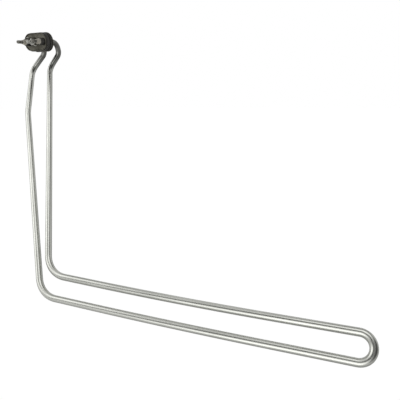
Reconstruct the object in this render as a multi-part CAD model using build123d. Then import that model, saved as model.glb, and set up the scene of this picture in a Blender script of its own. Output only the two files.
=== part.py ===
from build123d import *
import os
from math import cos, radians, sin

# Tubular heating element: one hairpin of steel-sheathed tube, bent to an L, whose two ends hook
# forward into an oval compression plug with two screw terminals, a clamp stud and an earth tab.
#
# Frame, in millimetres: the origin is on the plug's axis, in the middle of the groove that holds
# the wall. +Y points along that axis into the tank, -Y out to the terminals, +X along the runs
# and +Z up. The hairpin lies in a plane that leans about X.

# ---- sheath tube -------------------------------------------------------------------------
TUBE_DIAMETER = 8.5         # outside of the sheath
SHEATH_WALL = 0.6
TUBE_PITCH = 28.0           # centre to centre, between the runs and between the two ends
HAIRPIN_LEAN = 40.0         # degrees that the hairpin's plane leans back from the vertical

RUN_LENGTH = 378.5          # from the corner's vertex to the centre of the end bend
INNER_LEG = 361.0           # from the corner's vertex to the vertex of the neck's lower bend
LEG_ANGLE = 113.3           # degrees between the inner leg and the runs
LEG_SPREAD = 35.8           # along X, between the tops of the two legs
OUTER_LEG_SET_DOWN = 3.0    # how far the outer leg's top is below the inner one, up the slope
KINK_LENGTH = 88.5          # outer leg, from its top down to its slight bend
KINK_ANGLE = 109.2          # degrees between that top length and the runs

CORNER_RADIUS = 40.0        # all bend radii are those of the tube's centre line
KINK_RADIUS = 68.0
NECK_RADIUS = 20.5
HOOK_RADIUS = 13.5
END_STRAIGHT = 0.2          # left between the two quarter turns of the end bend
UPPER_BOW = 2.3             # how far each run sags in its middle
LOWER_BOW = 1.6
BOW_SHARE = 0.6             # share of each half run that the bow's long arc takes

# ---- neck: where the tube turns between the plug's axis and the legs ---------------------
HOOK_BACK = 23.3            # vertex of the hook's first bend, behind the plug's groove
HOOK_REACH = 5.6            # from there further back to the vertex of its second bend
INNER_HOOK_DROP = 17.7
OUTER_HOOK_DROP = 16.7
INNER_HOOK_SHIFT = 1.4      # towards -X
OUTER_HOOK_SHIFT = 4.0
LEG_TOP_X = -0.2            # vertex of the inner neck's lower bend
LEG_TOP_Y = 17.1
LEG_TOP_Z = -40.9

# ---- inside the sheath -------------------------------------------------------------------
COIL_DIAMETER = 3.8         # envelope of the close-wound resistance wire
PIN_DIAMETER = 3.0
COLD_LENGTH = 25.0          # the pins end this far down each leg from its top
END_SEAL_LENGTH = 4.0
SPIGOT_LENGTH = 4.0         # of the insulator, inside the sheath
SPIGOT_CLEARANCE = 0.1      # all round
PIN_CLEARANCE = 0.1         # all round, where a pin passes an insulator

# ---- terminals ---------------------------------------------------------------------------
SHEATH_BEYOND_COLLAR = 0.5
INSULATOR_LENGTH = 6.5      # outside the sheath
INSULATOR_BASE = 9.0
INSULATOR_TIP = 6.4
INSULATOR_EDGE = 0.5        # rounding of the tip
TERMINAL_DIAMETER = 5.0     # M5 thread
TERMINAL_LENGTH = 10.0
TERMINAL_SOCKET = 5.0       # depth of the blind hole over the pin's end
THREAD_CHAMFER = 0.5

# ---- compression plug --------------------------------------------------------------------
PLUG_END = 8.0              # along X, from the centre of each tube to the plug's end
PLUG_HEIGHT = 28.0
PLUG_CORNER = 12.0
GROOVE_WIDTH = 2.0          # takes the wall's edge
GROOVE_DEPTH = 1.0
WET_LIP = 4.0               # thickness of the seal on each side of the groove
DRY_LIP = 6.0
SEAL_EDGE = 1.2             # rounding of the lips' outer edges
COLLAR_DIAMETER = 11.0      # rubber sleeves round the tube ends
COLLAR_LENGTH = 8.5         # beyond the seal's dry face
COLLAR_EDGE = 0.6           # rounding of the sleeves' ends
COLLAR_CLEARANCE = 0.25     # all round, in the front plate's holes

BACK_PLATE_THICKNESS = 1.5
BACK_PLATE_MARGIN = 0.8     # wider than the seal all round
BACK_PLATE_EDGE = 0.4
PLATE_HOLE_CLEARANCE = 0.1  # all round, for tubes and stud
BRAZE_WIDTH = 1.3           # braze fillet round each tube at the back plate
BRAZE_TIP = 0.4

FRONT_PLATE_THICKNESS = 1.2
FRONT_PLATE_RIM = 2.5       # height of the pressed rim, from the seal's face
FRONT_PLATE_INSET = 0.75    # narrower than the seal all round
RIM_EDGE = 0.5              # rounding of the rim, at most just under half its wall
PRESS_BEND = 1.5            # outside radius where the rim meets the floor

# ---- clamp stud, nut, washers, earth tab ---------------------------------------------------
STUD_DIAMETER = 6.0         # M6 thread
STUD_REACH = 27.0           # from the groove's middle to the stud's dry end
STUD_HEAD_DIAMETER = 10.0
STUD_HEAD_HEIGHT = 1.6
STUD_HEAD_EDGE = 0.8
STUD_CHAMFER = 0.8
NUT_ACROSS_FLATS = 10.0
NUT_HEIGHT = 5.0
NUT_CHAMFER = 0.5
WASHER_DIAMETER = 12.0
WASHER_THICKNESS = 1.2
LOCK_WASHER_DIAMETER = 9.8
LOCK_WASHER_THICKNESS = 1.2
LOCK_WASHER_GAP = 1.0
FASTENER_CLEARANCE = 0.2    # all round, between stud and washers
TAB_WIDTH = 6.3
TAB_THICKNESS = 0.8
TAB_REACH = 25.0            # from the groove's middle to the earth tab's tip
TAB_NUT_CLEARANCE = 0.5
TAB_BEND = 1.4              # outside radius of the tab's right-angle bend
TAB_HOLE = 1.7
TAB_HOLE_FROM_TIP = 3.6
TAB_CORNER = 1.0

# ---- stations along the plug's axis --------------------------------------------------------
tube_bore = TUBE_DIAMETER - 2 * SHEATH_WALL
seal_back = GROOVE_WIDTH / 2 + WET_LIP
seal_front = -GROOVE_WIDTH / 2 - DRY_LIP
back_plate_back = seal_back + BACK_PLATE_THICKNESS
plate_floor = seal_front - FRONT_PLATE_THICKNESS
washer_front = plate_floor - WASHER_THICKNESS
tab_front = washer_front - TAB_THICKNESS
lock_washer_front = tab_front - LOCK_WASHER_THICKNESS
nut_front = lock_washer_front - NUT_HEIGHT
plug_length = TUBE_PITCH + 2 * PLUG_END
collar_front = seal_front - COLLAR_LENGTH
sheath_front = collar_front - SHEATH_BEYOND_COLLAR
insulator_front = sheath_front - INSULATOR_LENGTH
spigot_back = sheath_front + SPIGOT_LENGTH
fill_front = spigot_back + END_SEAL_LENGTH
terminal_front = insulator_front - TERMINAL_LENGTH
pin_front = insulator_front - TERMINAL_SOCKET

SIDES = {"left": -1, "right": 1}    # the outer tube ends on the left, the inner on the right


# ---- the tube's centre line ----------------------------------------------------------------
def on_hairpin(x, slope):
    """A point of the leaning plane: x from the inner leg's top, slope up the plane from it."""
    lean = radians(HAIRPIN_LEAN)
    return Vector(LEG_TOP_X + x, LEG_TOP_Y + slope * sin(lean), LEG_TOP_Z + slope * cos(lean))


def down_leg(length, angle):
    """Steps along X and up the plane for a length that descends at an angle to the runs."""
    return -length * cos(radians(angle)), -length * sin(radians(angle))


leg_x, leg_slope = down_leg(INNER_LEG, LEG_ANGLE)
kink_x, kink_slope = down_leg(KINK_LENGTH, KINK_ANGLE)
upper_slope = leg_slope
lower_slope = leg_slope - TUBE_PITCH
run_end = leg_x + RUN_LENGTH + TUBE_PITCH / 2
run_middle = leg_x + RUN_LENGTH / 2
bow_depth = 1 - BOW_SHARE / 2       # of the bow's vertex, that its long arc reaches
end_radius = (TUBE_PITCH - END_STRAIGHT) / 2


def bow_radius(bow):
    """Radius of the long arc that gives a run its sag."""
    return BOW_SHARE * (RUN_LENGTH / 2) ** 2 / (bow / bow_depth)


def plug_hole(side, y):
    return Vector(SIDES[side] * TUBE_PITCH / 2, y, 0)


def neck(side):
    """Vertices from behind the plug to the leg's top, with their radii."""
    drop = {"left": OUTER_HOOK_DROP, "right": INNER_HOOK_DROP}[side]
    shift = {"left": OUTER_HOOK_SHIFT, "right": INNER_HOOK_SHIFT}[side]
    top = {"left": on_hairpin(-LEG_SPREAD, -OUTER_LEG_SET_DOWN), "right": on_hairpin(0, 0)}[side]
    hook_back = plug_hole(side, HOOK_BACK)
    hook_low = hook_back + Vector(-shift, HOOK_REACH, -drop)
    return [hook_back, hook_low, top], [HOOK_RADIUS, HOOK_RADIUS, NECK_RADIUS]


def cold_end(side):
    """The point of a leg where its cold pin meets the coil."""
    if side == "right":
        return on_hairpin(*down_leg(COLD_LENGTH, LEG_ANGLE))
    x, slope = down_leg(COLD_LENGTH, KINK_ANGLE)
    return on_hairpin(x - LEG_SPREAD, slope - OUTER_LEG_SET_DOWN)


def hairpin():
    """Vertices of the L from the inner leg round the end bend to the outer leg, with radii."""
    points = [
        on_hairpin(leg_x, upper_slope),
        on_hairpin(run_middle, upper_slope - UPPER_BOW / bow_depth),
        on_hairpin(run_end, upper_slope),
        on_hairpin(run_end, lower_slope),
        on_hairpin(run_middle, lower_slope - LOWER_BOW / bow_depth),
        on_hairpin(leg_x, lower_slope),
        on_hairpin(kink_x - LEG_SPREAD, kink_slope - OUTER_LEG_SET_DOWN),
    ]
    radii = [CORNER_RADIUS, bow_radius(UPPER_BOW), end_radius, end_radius,
             bow_radius(LOWER_BOW), CORNER_RADIUS, KINK_RADIUS]
    return points, radii


def whole_line(start):
    """The centre line from one plug hole to the other, both from the station start."""
    right_points, right_radii = neck("right")
    left_points, left_radii = neck("left")
    points, radii = hairpin()
    return FilletPolyline(
        plug_hole("right", start), *right_points, *points, *left_points[::-1], plug_hole("left", start),
        radius=right_radii + radii + left_radii[::-1],
    )


def cold_line(side):
    """The centre line from a pin's front end to where the coil starts."""
    points, radii = neck(side)
    return FilletPolyline(plug_hole(side, pin_front), *points, cold_end(side), radius=radii)


def coil_line():
    points, radii = hairpin()
    return FilletPolyline(cold_end("right"), *points, cold_end("left"), radius=radii)


def rod_along(line, diameter):
    """A round bar of a constant diameter swept along a line."""
    section = Plane(origin=line @ 0, z_dir=line % 0) * Circle(diameter / 2)
    return sweep(section, path=line)


# ---- solids about an axis parallel to Y ----------------------------------------------------
def bar(diameter, front, back, x=0.0):
    """A cylinder between two stations."""
    return Pos(x, (front + back) / 2, 0) * Rot(90, 0, 0) * Cylinder(diameter / 2, back - front)


def taper(front_diameter, back_diameter, front, back, x=0.0):
    """A cone between two stations."""
    cone = Cone(back_diameter / 2, front_diameter / 2, back - front)
    return Pos(x, (front + back) / 2, 0) * Rot(90, 0, 0) * cone


def ring(outside, inside, front, back, x=0.0):
    return bar(outside, front, back, x) - bar(inside, front, back, x)


def oval(margin, front, back):
    """The plug's outline, widened by a margin, between two stations."""
    outline = RectangleRounded(
        plug_length + 2 * margin, PLUG_HEIGHT + 2 * margin, PLUG_CORNER + margin
    )
    return extrude(Plane.XZ.offset(-back) * outline, amount=back - front)


def end_edges(solid, station):
    """The edges of a solid that lie in the plane of a station."""
    return solid.edges().filter_by_position(Axis.Y, station, station)


def both_tubes(diameter, front, back):
    half = TUBE_PITCH / 2
    return bar(diameter, front, back, -half) + bar(diameter, front, back, half)


# ---- sheath and what it holds ----------------------------------------------------------------
def sheath_tube():
    line = whole_line(sheath_front)
    return rod_along(line, TUBE_DIAMETER) - rod_along(line, tube_bore)


def cold_pin(side):
    return rod_along(cold_line(side), PIN_DIAMETER)


def heating_coil():
    return rod_along(coil_line(), COIL_DIAMETER)


def insulating_fill(coil, pins):
    filling = rod_along(whole_line(fill_front), tube_bore)
    for core in [coil, *pins]:
        filling = filling - core
    return filling


def end_seal(side):
    x = SIDES[side] * TUBE_PITCH / 2
    return ring(tube_bore, PIN_DIAMETER, spigot_back, fill_front, x)


def terminal_insulator(side):
    """A flanged bush: its tapered body stands on the sheath's end, its spigot is inside."""
    x = SIDES[side] * TUBE_PITCH / 2
    body = taper(INSULATOR_TIP, INSULATOR_BASE, insulator_front, sheath_front, x)
    body = fillet(end_edges(body, insulator_front), INSULATOR_EDGE)
    spigot = bar(tube_bore - 2 * SPIGOT_CLEARANCE, sheath_front, spigot_back, x)
    bore = bar(PIN_DIAMETER + 2 * PIN_CLEARANCE, insulator_front, spigot_back, x)
    return body + spigot - bore


def terminal_stud(side):
    x = SIDES[side] * TUBE_PITCH / 2
    stud = bar(TERMINAL_DIAMETER, terminal_front, insulator_front, x)
    stud = chamfer(end_edges(stud, terminal_front), THREAD_CHAMFER)
    return stud - bar(PIN_DIAMETER, pin_front, insulator_front, x)


# ---- compression plug ------------------------------------------------------------------------
def rubber_seal():
    """Two lips with the wall's groove between them, and a sleeve round each tube end."""
    seal = oval(0, seal_front, seal_back)
    seal = fillet(end_edges(seal, seal_front) + end_edges(seal, seal_back), SEAL_EDGE)
    groove = oval(GROOVE_DEPTH, -GROOVE_WIDTH / 2, GROOVE_WIDTH / 2)
    groove = groove - oval(-GROOVE_DEPTH, -GROOVE_WIDTH / 2, GROOVE_WIDTH / 2)
    sleeves = both_tubes(COLLAR_DIAMETER, collar_front, seal_front)
    sleeves = fillet(end_edges(sleeves, collar_front), COLLAR_EDGE)
    seal = seal - groove + sleeves
    seal = seal - both_tubes(TUBE_DIAMETER, collar_front, seal_back)
    return seal - bar(STUD_DIAMETER, seal_front, seal_back)


def back_plate():
    plate = oval(BACK_PLATE_MARGIN, seal_back, back_plate_back)
    plate = fillet(end_edges(plate, seal_back) + end_edges(plate, back_plate_back), BACK_PLATE_EDGE)
    plate = plate - both_tubes(TUBE_DIAMETER + 2 * PLATE_HOLE_CLEARANCE, seal_back, back_plate_back)
    return plate - bar(STUD_DIAMETER, seal_back, back_plate_back)


def braze_ring(side):
    """The braze metal that fills the plate's hole and rises round the tube."""
    x = SIDES[side] * TUBE_PITCH / 2
    in_hole = bar(TUBE_DIAMETER + 2 * PLATE_HOLE_CLEARANCE, seal_back, back_plate_back, x)
    tip = back_plate_back + BRAZE_WIDTH
    rise = taper(TUBE_DIAMETER + 2 * BRAZE_WIDTH, TUBE_DIAMETER + 2 * BRAZE_TIP, back_plate_back, tip, x)
    return in_hole + rise - bar(TUBE_DIAMETER, seal_back, tip, x)


def front_plate():
    """A shallow pressed tray, open to the front, with holes for the sleeves and the stud."""
    rim_front = seal_front - FRONT_PLATE_RIM
    tray = oval(-FRONT_PLATE_INSET, rim_front, seal_front)
    tray = fillet(end_edges(tray, seal_front), PRESS_BEND)
    hollow = oval(-FRONT_PLATE_INSET - FRONT_PLATE_THICKNESS, rim_front, plate_floor)
    hollow = fillet(end_edges(hollow, plate_floor), PRESS_BEND - FRONT_PLATE_THICKNESS)
    tray = tray - hollow
    rounding = min(RIM_EDGE, 0.45 * FRONT_PLATE_THICKNESS)
    tray = fillet(end_edges(tray, rim_front), rounding)
    tray = tray - both_tubes(COLLAR_DIAMETER + 2 * COLLAR_CLEARANCE, rim_front, seal_front)
    return tray - bar(STUD_DIAMETER + 2 * PLATE_HOLE_CLEARANCE, plate_floor, seal_front)


def clamp_stud():
    """Pressed through the back plate from behind, with a low round head."""
    stud = bar(STUD_DIAMETER, -STUD_REACH, back_plate_back)
    stud = chamfer(end_edges(stud, -STUD_REACH), STUD_CHAMFER)
    head_back = back_plate_back + STUD_HEAD_HEIGHT
    head = bar(STUD_HEAD_DIAMETER, back_plate_back, head_back)
    return stud + fillet(end_edges(head, head_back), STUD_HEAD_EDGE)


def washer():
    return ring(WASHER_DIAMETER, STUD_DIAMETER + 2 * FASTENER_CLEARANCE, washer_front, plate_floor)


def lock_washer():
    """A split spring washer."""
    body = ring(LOCK_WASHER_DIAMETER, STUD_DIAMETER + 2 * FASTENER_CLEARANCE, lock_washer_front, tab_front)
    middle = (lock_washer_front + tab_front) / 2
    split = Pos(0, middle, -LOCK_WASHER_DIAMETER / 2) * Box(
        LOCK_WASHER_GAP, 2 * LOCK_WASHER_THICKNESS, LOCK_WASHER_DIAMETER
    )
    return body - split


def clamp_nut():
    """A hexagon nut with flats above and below, its corners turned off at both faces."""
    hexagon = RegularPolygon(NUT_ACROSS_FLATS / 2, 6, major_radius=False)
    body = extrude(Plane.XZ.offset(-lock_washer_front) * hexagon, amount=NUT_HEIGHT)
    corner = NUT_ACROSS_FLATS / cos(radians(30))
    turned = bar(corner, nut_front, lock_washer_front)
    turned = chamfer(end_edges(turned, nut_front) + end_edges(turned, lock_washer_front), NUT_CHAMFER)
    return (body & turned) - bar(STUD_DIAMETER, nut_front, lock_washer_front)


def earth_tab():
    """A ring under the nut whose upright arm is bent forward over the nut to a flat blade."""
    blade_under = NUT_ACROSS_FLATS / 2 + TAB_NUT_CLEARANCE
    blade_top = blade_under + TAB_THICKNESS
    side_view = make_face(Polyline(
        (washer_front, 0), (washer_front, blade_top), (-TAB_REACH, blade_top),
        (-TAB_REACH, blade_under), (tab_front, blade_under), (tab_front, 0), (washer_front, 0),
    ))
    arm = extrude(Plane.YZ * side_view, amount=TAB_WIDTH / 2, both=True)
    inner_bend = arm.edges().filter_by(Axis.X).filter_by_position(Axis.Y, tab_front, tab_front)
    arm = fillet(inner_bend.sort_by(Axis.Z)[-1], TAB_BEND - TAB_THICKNESS)
    outer_bend = arm.edges().filter_by(Axis.X).group_by(Axis.Z)[-1].sort_by(Axis.Y)[-1]
    arm = fillet(outer_bend, TAB_BEND)
    tip_corners = arm.edges().filter_by(Axis.Z).filter_by_position(Axis.Y, -TAB_REACH, -TAB_REACH)
    arm = chamfer(tip_corners, TAB_CORNER)
    hole = Pos(0, TAB_HOLE_FROM_TIP - TAB_REACH, blade_under) * Cylinder(TAB_HOLE / 2, 4 * TAB_THICKNESS)
    tab = bar(WASHER_DIAMETER, tab_front, washer_front) + arm - hole
    return tab - bar(STUD_DIAMETER + 2 * FASTENER_CLEARANCE, tab_front, washer_front)


# ---- all pieces --------------------------------------------------------------------------------
coil = heating_coil()
pins = {side: cold_pin(side) for side in SIDES}

pieces = {
    "sheath_tube": sheath_tube(),
    "insulating_fill": insulating_fill(coil, pins.values()),
    "heating_coil": coil,
    "rubber_seal": rubber_seal(),
    "back_plate": back_plate(),
    "front_plate": front_plate(),
    "clamp_stud": clamp_stud(),
    "washer": washer(),
    "earth_tab": earth_tab(),
    "lock_washer": lock_washer(),
    "clamp_nut": clamp_nut(),
}
for side in SIDES:
    pieces[f"cold_pin_{side}"] = pins[side]
    pieces[f"end_seal_{side}"] = end_seal(side)
    pieces[f"terminal_insulator_{side}"] = terminal_insulator(side)
    pieces[f"terminal_stud_{side}"] = terminal_stud(side)
    pieces[f"braze_ring_{side}"] = braze_ring(side)

os.makedirs("parts", exist_ok=True)
for name, piece in pieces.items():
    piece.label = name
    export_step(piece, f"parts/{name}.step")
    print(f"{name}: {len(piece.solids())} solid, {piece.volume:.1f} mm3")
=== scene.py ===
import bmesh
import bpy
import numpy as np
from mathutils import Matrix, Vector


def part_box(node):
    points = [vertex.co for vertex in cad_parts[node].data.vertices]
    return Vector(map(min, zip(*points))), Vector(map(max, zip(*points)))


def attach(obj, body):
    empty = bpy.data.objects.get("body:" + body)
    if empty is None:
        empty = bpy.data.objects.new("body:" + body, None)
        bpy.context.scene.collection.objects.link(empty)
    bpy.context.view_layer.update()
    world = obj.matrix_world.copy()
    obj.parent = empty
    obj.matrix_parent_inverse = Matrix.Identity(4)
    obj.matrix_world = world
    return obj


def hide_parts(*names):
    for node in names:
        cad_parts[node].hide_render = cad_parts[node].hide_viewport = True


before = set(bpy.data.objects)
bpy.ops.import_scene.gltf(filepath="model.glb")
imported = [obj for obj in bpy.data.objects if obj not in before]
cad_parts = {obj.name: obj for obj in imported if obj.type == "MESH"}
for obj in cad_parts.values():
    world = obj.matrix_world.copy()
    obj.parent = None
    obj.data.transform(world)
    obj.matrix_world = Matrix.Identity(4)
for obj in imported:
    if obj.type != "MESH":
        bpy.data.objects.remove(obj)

# %% [markdown]
# # A tubular heating element
#
# This lesson dresses the bare construction of an immersion heater: a thin steel tube, bent to a long
# hairpin, whose two ends come forward through an oval rubber plug. The construction model gives every
# piece its place. We keep the pieces whose shape is already right and give them a finish, and we make
# finer surfaces for the ones that catch the light: the tube, the threads, the nut and the beads.
#
# All lengths are in metres. The plug's axis is Y, with the tank side at +Y and the terminals at -Y.
# The runs lie along X, and Z is up.

# A fresh Blender file brings a cube, a lamp and a camera of its own.
for leftover in ("Cube", "Light", "Camera"):
    if leftover in bpy.data.objects:
        bpy.data.objects.remove(bpy.data.objects[leftover])

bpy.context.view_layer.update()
MM = 0.001
SIDES = {"left": -1, "right": 1}


def shown_box(node):
    """The lowest and highest corner of a construction node, as the two rows of an array."""
    return np.array([list(corner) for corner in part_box(node)])


# %% [markdown]
# ## From a grid of points to a mesh
#
# Nearly every piece here is a surface of two parameters: a ring of points, carried along something.
# Adding cylinders and bending them with modifiers would also work, but a formula says exactly what the
# shape is, and the whole grid is worked out at once. One function turns such a grid into a mesh. It
# joins each point to its neighbours, closes what should be closed, and looks at the volume that the
# faces enclose: if it is negative, the surface is inside out, and the faces are turned round.

# %% Make a mesh from a grid
SHARP_ANGLE = np.radians(35.0)
SAME_PLACE = 1e-7               # points nearer than this are one point


def grid_faces(rows, columns, wrap_rows):
    """Corner numbers of the quads between neighbouring rows and columns. Columns always close up."""
    last = rows if wrap_rows else rows - 1
    i, j = np.meshgrid(np.arange(last), np.arange(columns), indexing="ij")
    low, high = i % rows, (i + 1) % rows
    left, right = j % columns, (j + 1) % columns
    corners = [low * columns + left, low * columns + right, high * columns + right, high * columns + left]
    return np.stack(corners, axis=-1).reshape(-1, 4)


def enclosed(points, faces):
    """The volume inside the faces: each quad, cut into two triangles, adds its pyramid to the origin."""
    a, b, c, d = (points[faces[:, k]] for k in range(4))
    return (np.einsum("ij,ij->i", a, np.cross(b, c)) + np.einsum("ij,ij->i", a, np.cross(c, d))).sum() / 6


def surface(name, grid, wrap_rows=False, along=None, around=None):
    """A mesh object from grid[row, column] = (x, y, z).

    along and around are lengths in metres for the rows and columns, and become its UV map. Edges
    that turn by more than the sharp angle stay crisp, and all others are smooth."""
    rows, columns = grid.shape[:2]
    points = grid.reshape(-1, 3)
    faces = grid_faces(rows, columns, wrap_rows)
    outward = enclosed(points, faces) > 0
    if not outward:
        faces = faces[:, ::-1]
    mesh = bpy.data.meshes.new(name)
    mesh.vertices.add(len(points))
    mesh.vertices.foreach_set("co", points.ravel())
    mesh.loops.add(faces.size)
    mesh.loops.foreach_set("vertex_index", faces.ravel())
    mesh.polygons.add(len(faces))
    mesh.polygons.foreach_set("loop_start", np.arange(0, faces.size, 4))
    mesh.update(calc_edges=True)
    if along is not None:
        i, j = np.meshgrid(np.arange(len(along) - 1), np.arange(len(around) - 1), indexing="ij")
        corner_rows = np.stack([i, i, i + 1, i + 1], axis=-1).reshape(-1, 4)
        corner_columns = np.stack([j, j + 1, j + 1, j], axis=-1).reshape(-1, 4)
        if not outward:
            corner_rows, corner_columns = corner_rows[:, ::-1], corner_columns[:, ::-1]
        uv = np.stack([along[corner_rows], around[corner_columns]], axis=-1)
        mesh.uv_layers.new(name="along").data.foreach_set("uv", uv.ravel())
    close_poles(mesh)
    mesh.set_sharp_from_angle(angle=SHARP_ANGLE)
    made = bpy.data.objects.new(name, mesh)
    bpy.context.scene.collection.objects.link(made)
    print(f"{name}: {len(mesh.polygons)} faces, {abs(enclosed(points, faces)) * 1e9:.0f} mm3")
    return made


def close_poles(mesh):
    """Merges the points that share a place, so that a ring of no radius becomes one point."""
    work = bmesh.new()
    work.from_mesh(mesh)
    bmesh.ops.remove_doubles(work, verts=work.verts, dist=SAME_PLACE)
    for face in work.faces:
        face.smooth = True
    work.to_mesh(mesh)
    work.free()


# %% [markdown]
# ## A bent line
#
# A tube bender leaves straight runs joined by arcs that touch them. So the centre line is a list of
# corners, each with a radius, and not a free spline, which would be slightly bent everywhere. The
# function also carries one direction across the line round every bend, by the same turn as the line
# itself. That keeps the rings from twisting, and the fine lines of the drawn surface run straight
# along the tube. The same function rounds the corners of the flat profiles further down.

# %% Straight runs joined by arcs
FINE_TURN = np.radians(4.0)


def unit(vector):
    return vector / np.linalg.norm(vector)


def bent_line(corners, radii, across, spacing, turn_step=FINE_TURN):
    """Points, directions and directions across, along runs joined by tangent arcs.

    With d the direction before a corner, s the direction across it towards the arc's centre, and a
    growing from 0 to the whole turn t, the arc of radius r is at start + r (d sin a + s (1 - cos a)).
    It starts r tan(t / 2) before its corner, and there the line points along d cos a + s sin a."""
    corners = np.asarray(corners, float)
    here, ahead = corners[0], unit(corners[1] - corners[0])
    across = unit(across - ahead * (across @ ahead))
    places, aheads, acrosses = [], [], []

    def straight(to, first):
        count = max(1, int(np.ceil(np.linalg.norm(to - here) / spacing)))
        share = np.linspace(0, 1, count + 1)[0 if first else 1:, None]
        places.append(here + (to - here) * share)
        aheads.append(np.repeat(ahead[None], len(share), axis=0))
        acrosses.append(np.repeat(across[None], len(share), axis=0))

    for corner, following, radius in zip(corners[1:-1], corners[2:], radii):
        leaving = unit(following - corner)
        turn = np.arccos(np.clip(ahead @ leaving, -1, 1))
        start = corner - ahead * radius * np.tan(turn / 2)
        straight(start, not places)
        inward = unit(leaving - ahead * (leaving @ ahead))
        axis = np.cross(ahead, inward)
        count = max(2, int(np.ceil(turn / turn_step)), int(np.ceil(radius * turn / spacing)))
        a = (turn * np.arange(1, count + 1) / count)[:, None]
        places.append(start + radius * (ahead * np.sin(a) + inward * (1 - np.cos(a))))
        aheads.append(ahead * np.cos(a) + inward * np.sin(a))
        acrosses.append((across @ inward) * (inward * np.cos(a) - ahead * np.sin(a)) + (across @ axis) * axis)
        here, ahead, across = places[-1][-1], leaving, acrosses[-1][-1]
    straight(corners[-1], not places)
    return np.concatenate(places), np.concatenate(aheads), np.concatenate(acrosses)


def lengths(points):
    """The length of the line up to each of its points."""
    steps = np.linalg.norm(np.diff(points, axis=0), axis=1)
    return np.concatenate([[0.0], np.cumsum(steps)])


# %% [markdown]
# ## The route of the tube
#
# The tube leaves the plug, turns down through a hook and a neck on each side, and runs as two legs to
# the corner and as two runs to the end bend. The legs and runs lie in one plane that leans back. These
# are the bender's own numbers, in millimetres. The two runs sag a little in their middle, which a tube
# of this length does under its own weight, so each has a long shallow arc of its own.

# %% Corners and radii of the route
TUBE_DIAMETER, SHEATH_WALL, PITCH = 8.5, 0.6, 28.0
SHEATH_END = -16.0              # station of the tube's open ends
LEAN = np.radians(40.0)
RUN, INNER_LEG, KINK = 378.5, 361.0, 88.5
LEG_ANGLE, KINK_ANGLE = np.radians(113.3), np.radians(109.2)
LEG_SPREAD, SET_DOWN = 35.8, 3.0
CORNER_BEND, KINK_BEND, NECK_BEND, HOOK_BEND = 40.0, 68.0, 20.5, 13.5
END_STRAIGHT = 0.2
UPPER_SAG, LOWER_SAG = 2.3, 1.6
SAG_SHARE = 0.6                 # of each half run, taken by its long arc
STATION_SPACING = 8.0
HOOK_BACK, HOOK_REACH = 23.3, 5.6
DROP = {"left": 16.7, "right": 17.7}
SHIFT = {"left": 4.0, "right": 1.4}
LEG_TOP = np.array([-0.2, 17.1, -40.9])
ALONG_RUNS = np.array([1.0, 0.0, 0.0])
UP_SLOPE = np.array([0.0, np.sin(LEAN), np.cos(LEAN)])


def on_plane(x, slope):
    """The place in the leaning plane that lies x along the runs and so far up the slope."""
    return LEG_TOP + x * ALONG_RUNS + slope * UP_SLOPE


def descend(length, angle):
    """How far along the runs and up the slope a length reaches that goes down at the angle."""
    return -length * np.cos(angle), -length * np.sin(angle)


def neck_corners(side):
    """From the tube's end through the hook to the leg's top."""
    top = on_plane(0, 0) if side == "right" else on_plane(-LEG_SPREAD, -SET_DOWN)
    end = np.array([SIDES[side] * PITCH / 2, SHEATH_END, 0.0])
    hook = end + [0, HOOK_BACK - SHEATH_END, 0]
    low = hook + [-SHIFT[side], HOOK_REACH, -DROP[side]]
    return [end, hook, low, top], [HOOK_BEND, HOOK_BEND, NECK_BEND]


def sag_bend(sag):
    """The radius of the arc that takes SAG_SHARE of each half run and dips by the sag."""
    return SAG_SHARE * (RUN / 2) ** 2 / (sag / (1 - SAG_SHARE / 2))


def hairpin_corners():
    x, upper = descend(INNER_LEG, LEG_ANGLE)
    lower = upper - PITCH
    far, midway = x + RUN + PITCH / 2, x + RUN / 2
    deep = 1 - SAG_SHARE / 2
    kink_x, kink_slope = descend(KINK, KINK_ANGLE)
    corners = [
        on_plane(x, upper), on_plane(midway, upper - UPPER_SAG / deep), on_plane(far, upper),
        on_plane(far, lower), on_plane(midway, lower - LOWER_SAG / deep), on_plane(x, lower),
        on_plane(kink_x - LEG_SPREAD, kink_slope - SET_DOWN),
    ]
    end_bend = (PITCH - END_STRAIGHT) / 2
    return corners, [CORNER_BEND, sag_bend(UPPER_SAG), end_bend, end_bend,
                     sag_bend(LOWER_SAG), CORNER_BEND, KINK_BEND]


def route():
    """Corners and radii from the right end of the tube to the left one."""
    right, right_bends = neck_corners("right")
    left, left_bends = neck_corners("left")
    turns, turn_bends = hairpin_corners()
    return right + turns + left[::-1], right_bends + turn_bends + left_bends[::-1]


corners, bends = route()
line, line_ahead, line_across = bent_line(
    np.array(corners) * MM, np.array(bends) * MM, ALONG_RUNS, STATION_SPACING * MM)
print(f"route: {len(line)} stations, {lengths(line)[-1]:.4f} m")

# %% [markdown]
# ## The sheath
#
# The sheath is drawn stainless tube. Its surface is a circle carried along the route. At both ends the
# wall shows, so the profile goes on over a small rounded rim and back into the bore, where it closes.
# A curve with a round bevel would give the same body, but not the rims, and no control of the rings.

# %% Carry a circle along the route
TUBE_COLUMNS = 48
RIM_ROUND = 0.15
RECESS = 4.0                    # the beads' spigots stand in it


def ring_angles(columns):
    return np.linspace(0, 2 * np.pi, columns, endpoint=False)


def swept(centres, ahead, across, radii, columns):
    """The point at station u and angle v is centre(u) + r(u) (across cos v + beside sin v)."""
    beside = np.cross(ahead, across)
    v = ring_angles(columns)[None, :, None]
    outwards = across[:, None] * np.cos(v) + beside[:, None] * np.sin(v)
    return centres[:, None] + radii[:, None, None] * outwards


def held_at_ends(values, count):
    """The values along the route, with the first and the last said count times, for the rims."""
    return np.concatenate([np.repeat(values[:1], count, 0), values[1:-1], np.repeat(values[-1:], count, 0)])


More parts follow.
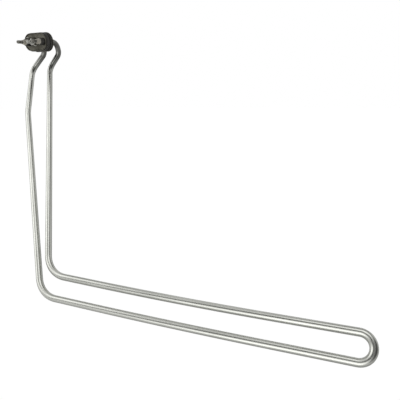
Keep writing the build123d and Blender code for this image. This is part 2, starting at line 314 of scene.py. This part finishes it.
def sheath():
    radius, bore = TUBE_DIAMETER / 2, TUBE_DIAMETER / 2 - SHEATH_WALL
    turn = np.radians([0, 30, 60, 90])
    # Depth into the tube and radius, from the closed recess out over the rim.
    depth = np.concatenate([[RECESS, RECESS, RIM_ROUND], RIM_ROUND * (1 - np.sin(turn[1:])),
                            RIM_ROUND * (1 - np.cos(turn))])
    reach = np.concatenate([[0, bore, bore], bore + RIM_ROUND * (1 - np.cos(turn[1:])),
                            radius - RIM_ROUND * (1 - np.sin(turn))])
    first, last = line_ahead[0], line_ahead[-1]
    start = line[0] + first * depth[:, None] * MM
    end = line[-1] - last * depth[::-1, None] * MM
    count = len(depth)
    # The route's first and last points lie on the rims, which already stand for them.
    centres = np.concatenate([start, line[1:-1], end])
    ahead, across = held_at_ends(line_ahead, count), held_at_ends(line_across, count)
    radii = np.concatenate([reach, np.full(len(line) - 2, radius), reach[::-1]]) * MM
    grid = swept(centres, ahead, across, radii, TUBE_COLUMNS)
    along = lengths(centres)
    around = np.linspace(0, np.pi * TUBE_DIAMETER * MM, TUBE_COLUMNS + 1)
    return surface("sheath", grid, along=along, around=around)


sheath_piece = sheath()
cad_tube = shown_box("sheath_tube")
own_tube = np.array([sheath_piece.bound_box[0], sheath_piece.bound_box[6]])
print("largest difference from the construction's box:", f"{np.abs(cad_tube - own_tube).max() * 1000:.3f} mm")

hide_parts("sheath_tube")
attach(sheath_piece, "root")

# %% [markdown]
# ## Turned pieces
#
# Beads, studs, washers and braze rings are all bodies of revolution about a line parallel to Y. So one
# function carries a profile of stations and radii round that line. The radius may also differ with the
# angle, which is what a thread or a hexagon is. A Spin or Screw modifier would do for the plain ones,
# but not for a thread with its proper flanks.

# %% Carry a profile round the axis
TURNED_COLUMNS = 72
EDGE_TURN = np.radians(15)      # from point to point on a rounded edge
SIDE_LENGTH = 100.0             # longer than any straight side, which then has no points between its ends


def turned(name, stations, radii, x=0.0, wrap_rows=False, columns=TURNED_COLUMNS):
    """The point of a row at angle t is (x + r cos t, y, r sin t), in millimetres, with that row's y and r."""
    t = ring_angles(columns)[None]
    y = np.asarray(stations, float)
    r = np.asarray(radii, float)
    y, r = (v[:, None] if v.ndim == 1 else v for v in (y, r))
    y, r = np.broadcast_arrays(y, r + 0 * t)
    grid = np.stack([x + r * np.cos(t), y, r * np.sin(t)], axis=-1) * MM
    return surface(name, grid, wrap_rows=wrap_rows)


def rounded_profile(corners, radii):
    """Stations and radii of a profile of straight lines whose corners are rounded by arcs."""
    flat = np.column_stack([np.asarray(corners, float), np.zeros(len(corners))])
    points, _, _ = bent_line(flat, radii, np.array([0.0, 0.0, 1.0]), SIDE_LENGTH, EDGE_TURN)
    return points[:, 0], points[:, 1]


def finish_piece(piece, node):
    """Lets a piece stand for its construction node, which it hides, and puts it on the one body there is."""
    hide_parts(node)
    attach(piece, "root")
    return piece


def middle(node):
    """The middle of a construction node's box, in millimetres."""
    low, high = shown_box(node)
    return (low + high) / 2 / MM


# %% [markdown]
# ## Threads
#
# A metric thread is a groove with 60 degree flanks that climbs by one pitch a turn. On a rod with its
# axis along Y, the number of turns at station y and angle t is y / pitch + t / 2 pi, and the radius
# depends only on its fraction. So a thread needs no helix and no boolean: it is a radius that changes
# over the grid. The tip is turned to a cone, so there the smaller of the two radii counts.

# %% Terminal studs
FLANK = np.tan(np.radians(60))
CREST_HALF, GROOVE_DEPTH = 1 / 16, 0.5413     # in pitches, as on every metric thread
ROWS_PER_TURN = 14


def thread_radius(y, t, crest, pitch):
    """With d the distance from the crest's middle in pitches, the radius is the crest's less
    pitch * (d - 1/16) tan 60, and never less than the root's, 0.54 pitch under the crest."""
    turns = (y / pitch + t / (2 * np.pi)) % 1
    d = np.minimum(turns, 1 - turns)
    return crest - pitch * np.clip((d - CREST_HALF) * FLANK, 0, GROOVE_DEPTH)


def threaded_rows(tip, end, crest, pitch, chamfer, columns):
    """Stations and radii of a thread from its coned tip to where it ends."""
    y = np.linspace(tip, end, int((end - tip) / pitch * ROWS_PER_TURN))[:, None]
    t = ring_angles(columns)[None]
    cone = crest - chamfer + (y - tip)
    return y[:, 0], np.minimum(thread_radius(y, t, crest, pitch), cone)


THREAD_COLUMNS = 48
ON_AXIS = np.zeros((1, THREAD_COLUMNS))       # a row of no radius, which closes an end
M5_PITCH, M5_CHAMFER = 0.8, 0.5
studs = {}
for side in SIDES:
    node = f"terminal_stud_{side}"
    low, high = shown_box(node) / MM
    radius = (high[2] - low[2]) / 2
    y, r = threaded_rows(low[1], high[1], radius, M5_PITCH, M5_CHAMFER, THREAD_COLUMNS)
    y = np.concatenate([[y[0]], y, [y[-1]]])
    r = np.concatenate([ON_AXIS, r, ON_AXIS])
    stud = turned(f"threaded_terminal_{side}", y, r, middle(node)[0], columns=THREAD_COLUMNS)
    studs[side] = finish_piece(stud, node)

# %% [markdown]
# ## The clamp stud
#
# The stud comes through both plates and the rubber. Its head is a low round one, pressed against the
# back plate, and its thread starts inside the plug. One grid holds both: thread rows first, then the
# plain shank, then the head's profile, which closes on the axis.

# %% Clamp stud with its head
M6_PITCH, M6_CHAMFER, M6_RADIUS = 1.0, 0.8, 3.0
THREAD_END = -7.0
HEAD_HEIGHT = 1.6
SHANK_ROUND, HEAD_RIM_ROUND, HEAD_TOP_ROUND = 0.2, 0.1, 0.8

low, high = shown_box("clamp_stud") / MM
thread_y, thread_r = threaded_rows(low[1], THREAD_END, M6_RADIUS, M6_PITCH, M6_CHAMFER, THREAD_COLUMNS)
head_under, head_top, head_radius = high[1] - HEAD_HEIGHT, high[1], (high[2] - low[2]) / 2
shank_y, shank_r = rounded_profile(
    [(THREAD_END, M6_RADIUS), (head_under, M6_RADIUS), (head_under, head_radius), (head_top, head_radius),
     (head_top, 0)], [SHANK_ROUND, HEAD_RIM_ROUND, HEAD_TOP_ROUND])
shank_r = np.repeat(shank_r[:, None], THREAD_COLUMNS, axis=1)
stud_y = np.concatenate([[thread_y[0]], thread_y, shank_y])
stud_r = np.concatenate([ON_AXIS, thread_r, shank_r])
clamp_stud = finish_piece(turned("clamp_stud_threaded", stud_y, stud_r, columns=THREAD_COLUMNS),
                          "clamp_stud")

# %% [markdown]
# ## The nut
#
# A hexagon nut has its corners turned off at both faces, which leaves the curved edges that tell a
# real nut from a plain prism. They come by themselves if each radius is the smaller of two: the
# hexagon's, which is half the width across flats over cos of the angle from the nearest flat, and that
# of a flat cone that grows from each face. The section is a closed loop, out along one face, over the
# flats, back along the other face and through the bore, so the rows close up too.

# %% Clamp nut
NUT_BORE, NUT_COUNTERSINK, COUNTERSINK_DEPTH = 2.6, 3.15, 0.4
FACE_SHARE = 0.93               # of half the width across flats, where the cone starts
CONE_SLOPE = 1 / np.tan(np.radians(30))
NUT_ROWS, NUT_COLUMNS = 41, 144


def nut(name, node):
    low, high = shown_box(node) / MM
    half_flats, front, back = (high[2] - low[2]) / 2, low[1], high[1]
    t = ring_angles(NUT_COLUMNS)
    sixth = np.pi / 3
    # Flats lie above and below, so corners are at whole sixths of a turn.
    from_flat = t % sixth - sixth / 2
    hexagon = half_flats / np.cos(from_flat)
    # Rows crowd near the faces, where the cones cut the corners.
    share = (1 - np.cos(np.linspace(0, np.pi, NUT_ROWS))) / 2
    y = front + (back - front) * share
    cone = half_flats * FACE_SHARE + CONE_SLOPE * np.minimum(y - front, back - y)
    outside = np.minimum(hexagon[None], cone[:, None])
    inner_y = [back, back - COUNTERSINK_DEPTH, front + COUNTERSINK_DEPTH, front]
    inner_r = np.array([NUT_COUNTERSINK, NUT_BORE, NUT_BORE, NUT_COUNTERSINK])[:, None]
    inside = np.repeat(inner_r, NUT_COLUMNS, axis=1)
    return turned(name, np.concatenate([y, inner_y]), np.concatenate([outside, inside]),
                  wrap_rows=True, columns=NUT_COLUMNS)


clamp_nut = finish_piece(nut("hexagon_nut", "clamp_nut"), "clamp_nut")

# %% [markdown]
# ## Washers
#
# The flat washer is punched, so one of its edges is slightly rounded and the other is sharp. The lock
# washer is a coil of square wire cut through: its section is carried round from one end of the cut to
# the other, and closed there by two flat ends. Pressed flat, its ends still stand a little apart.

# %% Flat washer and lock washer
FASTENER_BORE = 3.2
OUTER_ROUND, INNER_ROUND, BURR = 0.35, 0.2, 0.08
LOCK_ROWS, LOCK_CUT, LOCK_LIFT = 73, 1.0, 0.16


def flat_washer(name, node, bore):
    low, high = shown_box(node) / MM
    front, back, radius = low[1], high[1], (high[2] - low[2]) / 2
    half = (bore + radius) / 2
    y, r = rounded_profile([(front, half), (front, radius), (back, radius), (back, bore), (front, bore),
                            (front, half)], [OUTER_ROUND, BURR, BURR, INNER_ROUND])
    return turned(name, y[:-1], r[:-1], wrap_rows=True)


def lock_washer(name, node, bore, cut, lift):
    """Row a is the section at angle a from the cut, and the section climbs by the lift over the turn."""
    low, high = shown_box(node) / MM
    radius = high[0]
    front, back = low[1] + lift / 2, high[1] - lift / 2
    corner_y = np.array([front, front, back, back])
    corner_r = np.array([bore, radius, radius, bore])
    half_cut = np.arcsin(cut / 2 / radius)
    a = np.linspace(half_cut, 2 * np.pi - half_cut, LOCK_ROWS)[:, None]
    climb = lift * (a / (2 * np.pi) - 0.5)
    y, r = corner_y[None] + climb, corner_r[None] + 0 * a
    # A row of one repeated point at each end closes the cut's faces.
    first_y, last_y, pole_r = (np.full_like(row, row.mean()) for row in (y[:1], y[-1:], r[:1]))
    y, r = np.concatenate([first_y, y, last_y]), np.concatenate([pole_r, r, pole_r])
    a = np.concatenate([a[:1], a, a[-1:]])
    # The cut is at the bottom, so a is measured from there.
    grid = np.stack([r * np.sin(a), y, -r * np.cos(a)], axis=-1) * MM
    return surface(name, grid)


washer = finish_piece(flat_washer("punched_washer", "washer", FASTENER_BORE), "washer")
spring = finish_piece(lock_washer("split_lock_washer", "lock_washer", FASTENER_BORE, LOCK_CUT, LOCK_LIFT),
                      "lock_washer")

# %% [markdown]
# ## Beads and braze
#
# The pale beads that insulate the terminals are fired from pressed powder, so every edge is rounded.
# The braze is metal that ran round each tube while it was liquid: it climbs the tube in a hollow curve
# and ends in a thin uneven edge. Its radius falls with the square of the distance still to go, and slow
# and quick waves round the tube make it uneven.

# %% Insulating beads and braze rings
SPIGOT_RADIUS, SPIGOT_DEPTH = 3.55, 3.8
BEAD_TIP, BEAD_BASE = 3.2, 4.5
TIP_ROUND, BASE_ROUND, NECK_ROUND, SPIGOT_ROUND = 0.7, 0.35, 0.05, 0.3
BRAZE_ROWS = 13
BRAZE_WIDE, BRAZE_THIN, BRAZE_RISE = 1.3, 0.12, 1.3
MEAN_WIDTH, MEAN_RISE, INNER_RISE = 0.92, 0.93, 0.9       # shares of the full width and rise
SLOW_WAVE, QUICK_WAVE = 0.05, 0.03                        # of the unevenness round the tube
INTO_TUBE = 0.02                # the braze's inner side lies this far under the tube's surface
INTO_HOLE = 0.12                # and its side in the plate's hole this far out from there
beads, brazes = {}, {}
for side in SIDES:
    node = f"terminal_insulator_{side}"
    front = shown_box(node)[0][1] / MM
    y, r = rounded_profile(
        [(front, 0), (front, BEAD_TIP), (SHEATH_END, BEAD_BASE), (SHEATH_END, SPIGOT_RADIUS),
         (SHEATH_END + SPIGOT_DEPTH, SPIGOT_RADIUS), (SHEATH_END + SPIGOT_DEPTH, 0)],
        [TIP_ROUND, BASE_ROUND, NECK_ROUND, SPIGOT_ROUND])
    beads[side] = finish_piece(turned(f"ceramic_bead_{side}", y, r, middle(node)[0]), node)

    node = f"braze_ring_{side}"
    plate = shown_box("back_plate")[1][1] / MM
    bottom = shown_box(node)[0][1] / MM
    t = ring_angles(TURNED_COLUMNS)[None]
    to_go = np.linspace(1, 0, BRAZE_ROWS)[:, None]
    uneven = 1 + SLOW_WAVE * np.sin(3 * t + SIDES[side]) + QUICK_WAVE * np.sin(7 * t)
    rise = plate + BRAZE_RISE * (1 - to_go) * (MEAN_RISE + SLOW_WAVE * np.sin(2 * t))
    radius = TUBE_DIAMETER / 2 + BRAZE_THIN + (BRAZE_WIDE - BRAZE_THIN) * to_go ** 2 * uneven * MEAN_WIDTH
    inside = np.full_like(t, TUBE_DIAMETER / 2 - INTO_TUBE)
    in_hole = inside + INTO_HOLE
    inner_y = np.array([plate + BRAZE_RISE * INNER_RISE, bottom, bottom, plate])[:, None] + 0 * t
    y = np.concatenate([rise, inner_y])
    r = np.concatenate([radius, inside, inside, in_hole, in_hole])
    fillet = turned(f"braze_fillet_{side}", y, r, middle(node)[0], wrap_rows=True)
    brazes[side] = finish_piece(fillet, node)

# %% [markdown]
# ## Colours and a way to add nodes
#
# Colours are written as the sRGB hex values that a picture editor shows, and turned to the linear
# values that the shader works in. A material is a small tree of nodes. One function adds a node of any
# kind with its settings and feeds its inputs, each a number, a colour or the output of another node.

# %% Helpers for materials
PATTERN_LOW, PATTERN_HIGH = 0.3, 0.7          # a finish changes between these values of a noise pattern


def linear(hex_code):
    """Each channel v is v / 12.92 below 0.04045, and ((v + 0.055) / 1.055) to the power 2.4 above it."""
    v = np.array([int(hex_code[k:k + 2], 16) for k in (1, 3, 5)]) / 255
    return (*np.where(v <= 0.04045, v / 12.92, ((v + 0.055) / 1.055) ** 2.4).tolist(), 1.0)


def add(tree, kind, feeds=None, **settings):
    """Adds a node. feeds maps an input's name or number to a value or to another node's output."""
    made = tree.nodes.new(kind)
    for name, value in settings.items():
        setattr(made, name, value)
    for name, value in (feeds or {}).items():
        if isinstance(value, bpy.types.NodeSocket):
            tree.links.new(value, made.inputs[name])
        else:
            made.inputs[name].default_value = value
    return made


def new_material(name):
    """An empty material: its tree and the shader that the finish is fed into."""
    material = bpy.data.materials.new(name)
    material.use_nodes = True
    tree = material.node_tree
    tree.nodes.clear()
    shader = add(tree, "ShaderNodeBsdfPrincipled")
    add(tree, "ShaderNodeOutputMaterial", {"Surface": shader.outputs[0]})
    return material, tree, shader


def ramp(tree, factor, stops):
    """A colour ramp from (place, hex colour) pairs."""
    made = add(tree, "ShaderNodeValToRGB", {"Fac": factor})
    elements = made.color_ramp.elements
    while len(elements) < len(stops):
        elements.new(0.5)
    for element, (place, colour) in zip(elements, stops):
        element.position, element.color = place, linear(colour)
    return made.outputs["Color"]


def spread(tree, value, low, high, low_in=0.0, high_in=1.0):
    """Maps a value from one range to another."""
    made = add(tree, "ShaderNodeMapRange", {0: value, 1: low_in, 2: high_in, 3: low, 4: high})
    return made.outputs[0]


def bump(tree, height, depth):
    """Tilts the surface by a height pattern of the given depth in millimetres."""
    made = add(tree, "ShaderNodeBump", {"Strength": 1.0, "Distance": depth * MM, "Height": height})
    return made.outputs["Normal"]


def dress(material, *pieces):
    """Puts a material on new pieces, and on construction nodes by name."""
    for piece in pieces:
        if isinstance(piece, str):
            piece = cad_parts[piece]
        piece.data.materials.clear()
        piece.data.materials.append(material)
    print(f"{material.name}: {len(pieces)} dressed")


# %% [markdown]
# ## Drawn stainless steel
#
# The sheath is austenitic stainless tube, drawn through a die and then polished in a belt machine. The
# eye sees a bright grey metal with hardly any cast, reflections that are soft round the tube and long
# along it, and fine lines that run lengthwise. The lines follow the tube's own map, in metres along and
# round it. Real drawing lines are about 0.1 mm apart, too fine to show, so these are 0.5 mm apart.
# Near the plug the tube darkens: partly a thin dark grey oxide from the brazing heat, partly painted shade.

# %% Finish of the sheath
LINE_SPACING, LINE_LENGTH = 0.5 * MM, 60 * MM
LINE_DEPTH = 0.012              # in millimetres, as in every bump
CLOUD_SIZE = 35 * MM
# Where the ends darken, with heat tint and painted shade together.
SHADE_AND_TINT_FROM, SHADE_AND_TINT_TO = 66 * MM, 104 * MM        # along the tube from its ends
SHADE_AND_TINT_SHARE = 0.80


def drawn_stainless():
    material, tree, shader = new_material("drawn_stainless")
    place = add(tree, "ShaderNodeUVMap", uv_map="along").outputs[0]
    stretch = (1 / LINE_LENGTH, 1 / LINE_SPACING, 1)
    stretched = add(tree, "ShaderNodeMapping", {"Vector": place, "Scale": stretch})
    lines = add(tree, "ShaderNodeTexNoise", {"Vector": stretched.outputs[0], "Scale": 1.0, "Detail": 3.0})
    here = add(tree, "ShaderNodeTexCoord").outputs["Object"]
    clouds = add(tree, "ShaderNodeTexNoise", {"Vector": here, "Scale": 1 / CLOUD_SIZE, "Detail": 4.0})
    polish = ramp(tree, clouds.outputs["Fac"], [(PATTERN_LOW, "#B9BAB4"), (PATTERN_HIGH, "#C6C7C1")])
    # Distance from the nearer end, read from the map.
    along = add(tree, "ShaderNodeSeparateXYZ", {0: place}).outputs[0]
    total = lengths(line)[-1] + 2 * RECESS * MM
    other = add(tree, "ShaderNodeMath", {0: total, 1: along}, operation="SUBTRACT").outputs[0]
    nearer = add(tree, "ShaderNodeMath", {0: along, 1: other}, operation="MINIMUM").outputs[0]
    # Heat tint and painted shade together: near each end the colour goes most of the way to a dark grey.
    shade_and_tint = spread(tree, nearer, SHADE_AND_TINT_SHARE, 0.0, SHADE_AND_TINT_FROM, SHADE_AND_TINT_TO)
    shaded_and_tinted = add(tree, "ShaderNodeMix", {"Factor": shade_and_tint, 6: polish, 7: linear("#4F4F4C")}, data_type="RGBA")
    shader.inputs["Metallic"].default_value = 1.0
    tree.links.new(shaded_and_tinted.outputs[2], shader.inputs["Base Color"])
    rough = spread(tree, lines.outputs["Fac"], 0.20, 0.28, PATTERN_LOW, PATTERN_HIGH)
    tree.links.new(rough, shader.inputs["Roughness"])
    tree.links.new(bump(tree, lines.outputs["Fac"], LINE_DEPTH), shader.inputs["Normal"])
    return material


dress(drawn_stainless(), sheath_piece)

# %% [markdown]
# ## Plated and pressed metal
#
# The nut, stud and washers are steel with a thin grey nickel coat, only faintly yellow. The terminal
# studs have the same coat, rougher, in a darker tone that is painted shade. The plates are pressed
# from stainless sheet with the mill's dull finish. One builder serves them all: a base colour that
# wanders between two tones, a roughness that is least where the tone is lightest, and a fine grain.

# %% Finishes of the metal fittings


def worked_metal(name, dark, light, rough_low, rough_high, cloud, grain, depth):
    """Metal whose tone and roughness wander over clouds of the given size, with a grain, both in mm."""
    material, tree, shader = new_material(name)
    here = add(tree, "ShaderNodeTexCoord").outputs["Object"]
    clouds = add(tree, "ShaderNodeTexNoise", {"Vector": here, "Scale": 1 / (cloud * MM), "Detail": 5.0})
    fine = add(tree, "ShaderNodeTexNoise", {"Vector": here, "Scale": 1 / (grain * MM), "Detail": 2.0})
    shader.inputs["Metallic"].default_value = 1.0
    tone = ramp(tree, clouds.outputs["Fac"], [(PATTERN_LOW, dark), (PATTERN_HIGH, light)])
    shine = spread(tree, clouds.outputs["Fac"], rough_high, rough_low, PATTERN_LOW, PATTERN_HIGH)
    tree.links.new(tone, shader.inputs["Base Color"])
    tree.links.new(shine, shader.inputs["Roughness"])
    tree.links.new(bump(tree, fine.outputs["Fac"], depth), shader.inputs["Normal"])
    return material


nickel = worked_metal("bright_nickel_plate", "#92918B", "#B6B6AF", 0.18, 0.32,
                      cloud=4.0, grain=0.3, depth=0.006)
# A darker copy of the nickel for the terminal studs: its darker tone is painted shade, and it is rougher.
shaded_nickel = worked_metal("shaded_nickel_plate", "#64645E", "#8A8881", 0.34, 0.50,
                           cloud=2.5, grain=0.25, depth=0.010)
pressed = worked_metal("pressed_stainless", "#48473F", "#6F6D64", 0.36, 0.50,
                       cloud=11.0, grain=0.4, depth=0.012)
braze = worked_metal("silver_braze", "#9F9679", "#BAB39A", 0.30, 0.48,
                     cloud=1.5, grain=0.3, depth=0.02)
dress(nickel, clamp_stud, clamp_nut, washer, spring, "earth_tab")
dress(shaded_nickel, *studs.values())
dress(pressed, "front_plate", "back_plate")
dress(braze, *brazes.values())

# %% [markdown]
# ## Rubber
#
# The plug is moulded from black silicone or nitrile rubber. New rubber isn't quite black: a very fine
# grain from the mould scatters a soft grey sheen, and a little bloom lies on it in clouds. It is no
# metal, and its roughness is high, so lamps leave only wide dim patches.

# %% Finish of the rubber
RUBBER_GRAIN, GRAIN_DEPTH, BLOOM_SIZE = 0.35, 0.02, 7.0


def moulded_rubber():
    material, tree, shader = new_material("moulded_rubber")
    here = add(tree, "ShaderNodeTexCoord").outputs["Object"]
    grain = add(tree, "ShaderNodeTexNoise", {"Vector": here, "Scale": 1 / (RUBBER_GRAIN * MM), "Detail": 2.0})
    bloom = add(tree, "ShaderNodeTexNoise", {"Vector": here, "Scale": 1 / (BLOOM_SIZE * MM), "Detail": 4.0})
    tone = ramp(tree, bloom.outputs["Fac"], [(0.35, "#2B2A27"), (0.7, "#383733")])
    tree.links.new(tone, shader.inputs["Base Color"])
    tree.links.new(spread(tree, bloom.outputs["Fac"], 0.55, 0.72), shader.inputs["Roughness"])
    tree.links.new(bump(tree, grain.outputs["Fac"], GRAIN_DEPTH), shader.inputs["Normal"])
    return material


dress(moulded_rubber(), "rubber_seal")

# %% [markdown]
# ## Fired ceramic
#
# The beads are steatite, a pressed and fired soapstone: a pale buff grey, dense and slightly glossy,
# with a fine speckle. A little light enters it, which softens its shadows, and that is left out here,
# because the beads are only a few millimetres across.

# %% Finish of the beads
SPECKLE_SIZE, STAIN_SIZE = 0.5 * MM, 5 * MM
SPECKLE_DEPTH = 0.01


def fired_steatite():
    material, tree, shader = new_material("fired_steatite")
    here = add(tree, "ShaderNodeTexCoord").outputs["Object"]
    speckle = add(tree, "ShaderNodeTexNoise", {"Vector": here, "Scale": 1 / SPECKLE_SIZE, "Detail": 3.0})
    stain = add(tree, "ShaderNodeTexNoise", {"Vector": here, "Scale": 1 / STAIN_SIZE, "Detail": 3.0})
    # A product of two patterns is lower than either, so the stops are lower too.
    both = add(tree, "ShaderNodeMath", {0: speckle.outputs["Fac"], 1: stain.outputs["Fac"]},
               operation="MULTIPLY")
    tone = ramp(tree, both.outputs[0], [(0.12, "#9B978C"), (0.35, "#B4B0A4")])
    tree.links.new(tone, shader.inputs["Base Color"])
    tree.links.new(spread(tree, stain.outputs["Fac"], 0.35, 0.55), shader.inputs["Roughness"])
    tree.links.new(bump(tree, speckle.outputs["Fac"], SPECKLE_DEPTH), shader.inputs["Normal"])
    return material


dress(fired_steatite(), *beads.values())

# %% [markdown]
# ## What is inside
#
# Nobody sees the inside of the tube, but a cut-away or an exported mesh may show it. So the pieces
# there get simple true finishes too: white magnesia powder, dark nickel-chrome wire with a coarse grain
# in place of its turns, drawn steel pins, and buff resin in the ends.

# %% Finishes of the inner pieces


def dull_solid(name, dark, light, grain, depth, rough):
    """A dull solid with a grain in millimetres."""
    material, tree, shader = new_material(name)
    here = add(tree, "ShaderNodeTexCoord").outputs["Object"]
    grains = add(tree, "ShaderNodeTexNoise", {"Vector": here, "Scale": 1 / (grain * MM), "Detail": 4.0})
    tone = ramp(tree, grains.outputs["Fac"], [(PATTERN_LOW, dark), (PATTERN_HIGH, light)])
    tree.links.new(tone, shader.inputs["Base Color"])
    shader.inputs["Roughness"].default_value = rough
    tree.links.new(bump(tree, grains.outputs["Fac"], depth), shader.inputs["Normal"])
    return material


powder = dull_solid("packed_magnesia", "#CDCBC2", "#E3E1DB", grain=0.3, depth=0.03, rough=0.9)
resin = dull_solid("cured_resin", "#A09276", "#B3A589", grain=1.2, depth=0.01, rough=0.4)
wire = worked_metal("oxidised_wire", "#484642", "#65635D", 0.45, 0.65,
                    cloud=3.0, grain=1.0, depth=0.15)
steel_pin = worked_metal("drawn_steel", "#87857F", "#A19F99", 0.25, 0.40,
                         cloud=5.0, grain=0.3, depth=0.01)
dress(powder, "insulating_fill")
dress(resin, "end_seal_left", "end_seal_right")
dress(wire, "heating_coil")
dress(steel_pin, "cold_pin_left", "cold_pin_right")

# %% [markdown]
# ## The floor
#
# The object hangs in a white studio, well above the floor. To the camera the floor is plain white, and
# only a small share of its look is its lit surface, which holds the object's soft shadow. Rays that a
# mirror throws pass through the floor, because bright metal shows what is around it.

# %% Floor
FLOOR_LEVEL = -0.75
FLOOR_SIZE = 14.0
SHADOW_SHARE = 0.12             # of the floor's look that is its lit surface, which holds the shadow
PLAIN_LEVEL = 1.06              # of the rest, so that both together come to white


def ray_kind(tree, *kinds):
    """1 for rays of one of the named kinds, 0 for the others."""
    path = add(tree, "ShaderNodeLightPath")
    found = path.outputs[kinds[0]]
    for kind in kinds[1:]:
        found = add(tree, "ShaderNodeMath", {0: found, 1: path.outputs[kind]}, operation="MAXIMUM").outputs[0]
    return found


def pale_floor():
    material = bpy.data.materials.new("pale_floor")
    material.use_nodes = True
    tree = material.node_tree
    tree.nodes.clear()
    white = add(tree, "ShaderNodeEmission", {"Color": (1, 1, 1, 1), "Strength": PLAIN_LEVEL})
    matte = add(tree, "ShaderNodeBsdfDiffuse", {"Color": linear("#F2F1EE")})
    seen = add(tree, "ShaderNodeMath", {0: ray_kind(tree, "Is Camera Ray"), 1: 1 - SHADOW_SHARE},
               operation="MULTIPLY").outputs[0]
    paper = add(tree, "ShaderNodeMixShader", {0: seen, 1: matte.outputs[0], 2: white.outputs[0]})
    passed = add(tree, "ShaderNodeBsdfTransparent")
    mirrored = ray_kind(tree, "Is Glossy Ray", "Is Transmission Ray")
    both = add(tree, "ShaderNodeMixShader", {0: mirrored, 1: paper.outputs[0], 2: passed.outputs[0]})
    add(tree, "ShaderNodeOutputMaterial", {"Surface": both.outputs[0]})
    return material


half = FLOOR_SIZE / 2
floor_mesh = bpy.data.meshes.new("floor")
floor_mesh.from_pydata([(x * half, y * half, FLOOR_LEVEL) for x, y in ((-1, -1), (1, -1), (1, 1), (-1, 1))],
                       [], [(0, 1, 2, 3)])
floor = bpy.data.objects.new("floor", floor_mesh)
bpy.context.scene.collection.objects.link(floor)
floor.data.materials.append(pale_floor())
print("floor level:", FLOOR_LEVEL, "m")

# %% [markdown]
# ## The world
#
# Polished metal shows its surroundings. A bent tube mirrors a whole ring of directions at each place, so
# what stands around it becomes the light and dark lines along it. Small lamps would only give bright
# points. So the world is a soft grey room with bright and dark regions, each a smooth patch about one
# direction: the softbox and the ceiling whiten the legs' left half, the low strip behind the camera
# draws the line along the runs, and the cards take light away. To the camera the world is plain white.

# %% World
HEADING = np.radians(24.04)     # of the camera, round to the left of +Y
ROOM_LEVEL = 0.80
# Each patch: degrees to the right of the camera's heading, degrees up, half width, and what it adds.
PATCHES = {
    "softbox_left": (-86, 34, 31, 1.37),
    "ceiling": (140, 80, 27, 1.06),
    "strip_low_behind": (-153, 6, 38, 1.68),
    "card_right": (48, 60, 34, -0.56),
    "card_low_right": (134, 24, 58, -0.72),
    "card_behind_left": (-140, 33, 40, -0.78),
    "card_left": (-44, 30, 34, -0.40),
    "card_below": (30, -66, 86, -0.38),
    "card_ahead": (13, -14, 34, -0.34),
}


def towards(right_turn, upward):
    """A direction in space: the heading turned to the right about Z, then raised."""
    turn, rise = np.radians([right_turn, upward])
    angle = HEADING - turn
    return (float(-np.sin(angle) * np.cos(rise)), float(np.cos(angle) * np.cos(rise)), float(np.sin(rise)))


def studio_world():
    """The level is the room's, plus each patch's gain times a smooth step of the direction's cosine."""
    world = bpy.data.worlds.new("studio")
    bpy.context.scene.world = world
    world.use_nodes = True
    tree = world.node_tree
    tree.nodes.clear()
    looking = add(tree, "ShaderNodeTexCoord").outputs["Generated"]
    level = ROOM_LEVEL
    for right_turn, upward, width, gain in PATCHES.values():
        facing = add(tree, "ShaderNodeVectorMath", {0: looking, 1: towards(right_turn, upward)},
                     operation="DOT_PRODUCT").outputs["Value"]
        edge = float(np.cos(np.radians(width)))
        patch = add(tree, "ShaderNodeMapRange", {0: facing, 1: edge, 2: 1.0, 3: 0.0, 4: gain},
                    interpolation_type="SMOOTHSTEP").outputs[0]
        level = add(tree, "ShaderNodeMath", {0: level, 1: patch}, operation="ADD").outputs[0]
    shown = add(tree, "ShaderNodeMix", {0: ray_kind(tree, "Is Camera Ray"), 2: level, 3: 1.0},
                data_type="FLOAT").outputs[0]
    background = add(tree, "ShaderNodeBackground", {"Color": (1, 1, 1, 1), "Strength": shown})
    add(tree, "ShaderNodeOutputWorld", {"Surface": background.outputs[0]})


studio_world()
print(f"world: level {ROOM_LEVEL} with {len(PATCHES)} patches")

# %% [markdown]
# ## Camera
#
# The camera stands on the terminals' side, 50 mm below the plug, and looks down on the runs. Its
# direction is given as on a tripod: so far round to the left, so far down, and tilted by two degrees.
# From these the three axes of the camera follow.

# %% Camera
CAMERA_PLACE = (0.53865, -0.59840, -0.04771)
DOWN, TILT = np.radians([16.41, -2.07])
LENS, SENSOR = 40.5, 36.0
NEAREST, FARTHEST = 0.01, 50.0

forward = np.array([-np.sin(HEADING) * np.cos(DOWN), np.cos(HEADING) * np.cos(DOWN), -np.sin(DOWN)])
level_right = np.array([np.cos(HEADING), np.sin(HEADING), 0.0])
level_up = np.cross(level_right, forward)
right = level_right * np.cos(TILT) + level_up * np.sin(TILT)
up = np.cross(right, forward)
camera = bpy.data.objects.new("camera", bpy.data.cameras.new("camera"))
bpy.context.scene.collection.objects.link(camera)
pose = np.eye(4)
pose[:3, 0], pose[:3, 1], pose[:3, 2], pose[:3, 3] = right, up, -forward, CAMERA_PLACE
camera.matrix_world = Matrix(pose.tolist())
camera.data.lens, camera.data.sensor_width = LENS, SENSOR
camera.data.clip_start, camera.data.clip_end = NEAREST, FARTHEST
bpy.context.scene.camera = camera
bpy.context.scene.view_settings.view_transform = "Standard"
print(f"camera: {np.linalg.norm(CAMERA_PLACE):.3f} m from the origin")
